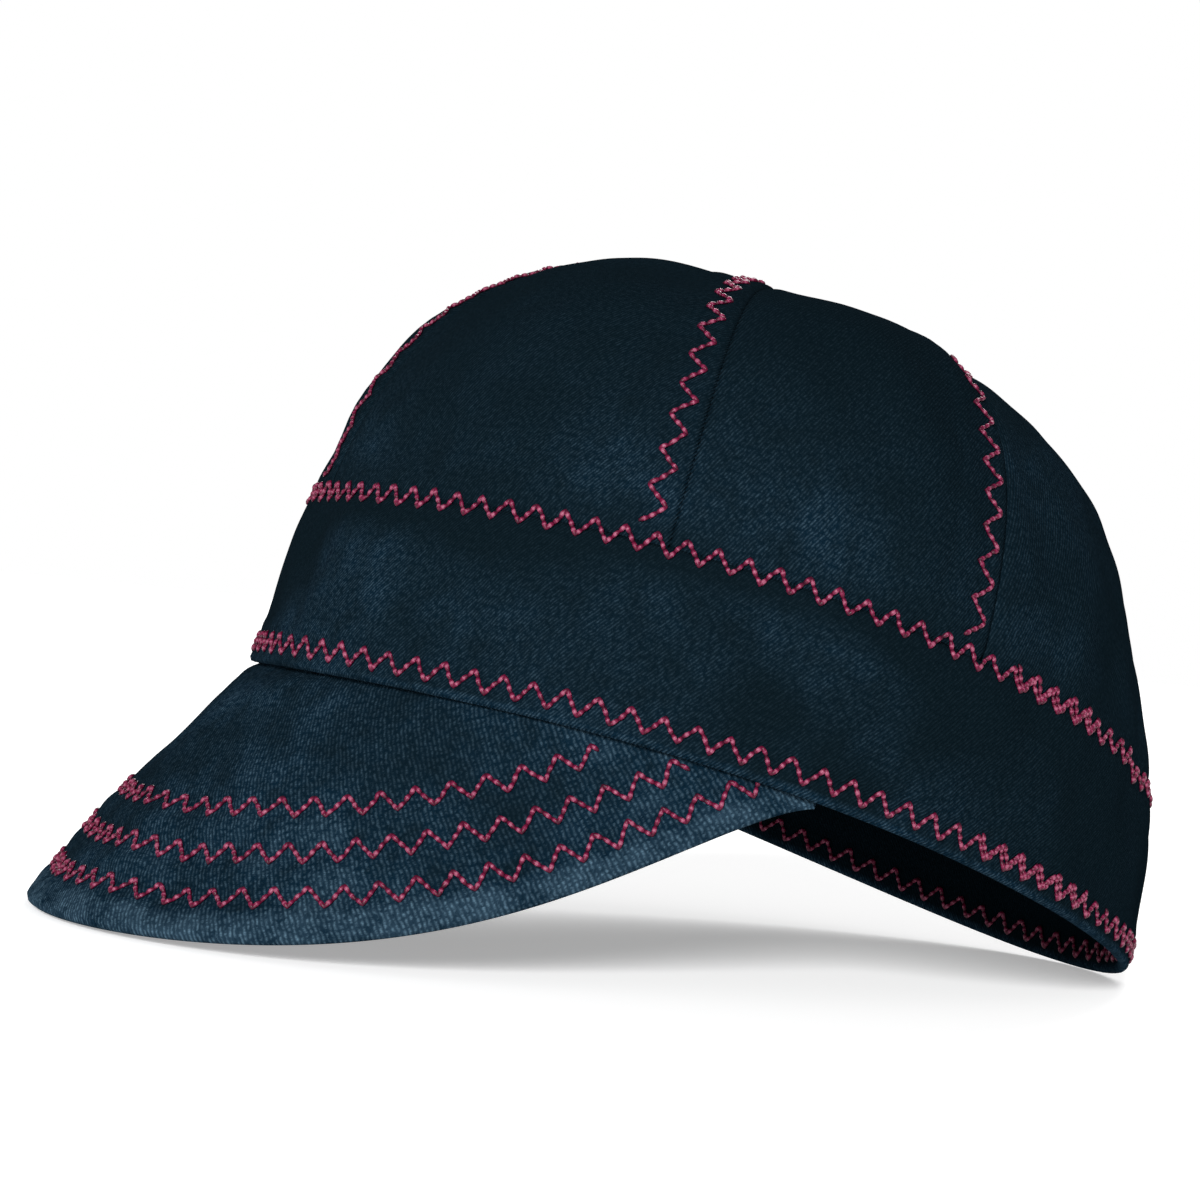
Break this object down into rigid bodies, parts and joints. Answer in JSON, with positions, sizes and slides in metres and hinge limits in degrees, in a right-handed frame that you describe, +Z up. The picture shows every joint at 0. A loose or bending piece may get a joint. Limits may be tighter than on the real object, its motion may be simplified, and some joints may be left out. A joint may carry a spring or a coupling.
{
  "type": "welding cap",
  "caption": "Soft cotton twill work cap with a rounded panelled crown, a folded band and a short drooping peak, all joined by zigzag stitching.",
  "frame": {"origin": "centre of the bounding box at the surface that the cap stands on", "axes": "+Z up as the cap stands, the front and the peak face -Y, the wearer's left is +X"},
  "size_m": [0.1708, 0.241, 0.1428],
  "materials": {
    "twill": "matt dark navy cotton twill",
    "thread": "satin crimson sewing thread"
  },
  "bodies": {
    "root": {"crown_front_left": "twill", "crown_front_right": "twill", "crown_side_left": "twill", "crown_side_right": "twill", "crown_rear_left": "twill", "crown_rear_right": "twill", "band": "twill", "peak": "twill"}
  },
  "joints": []
}
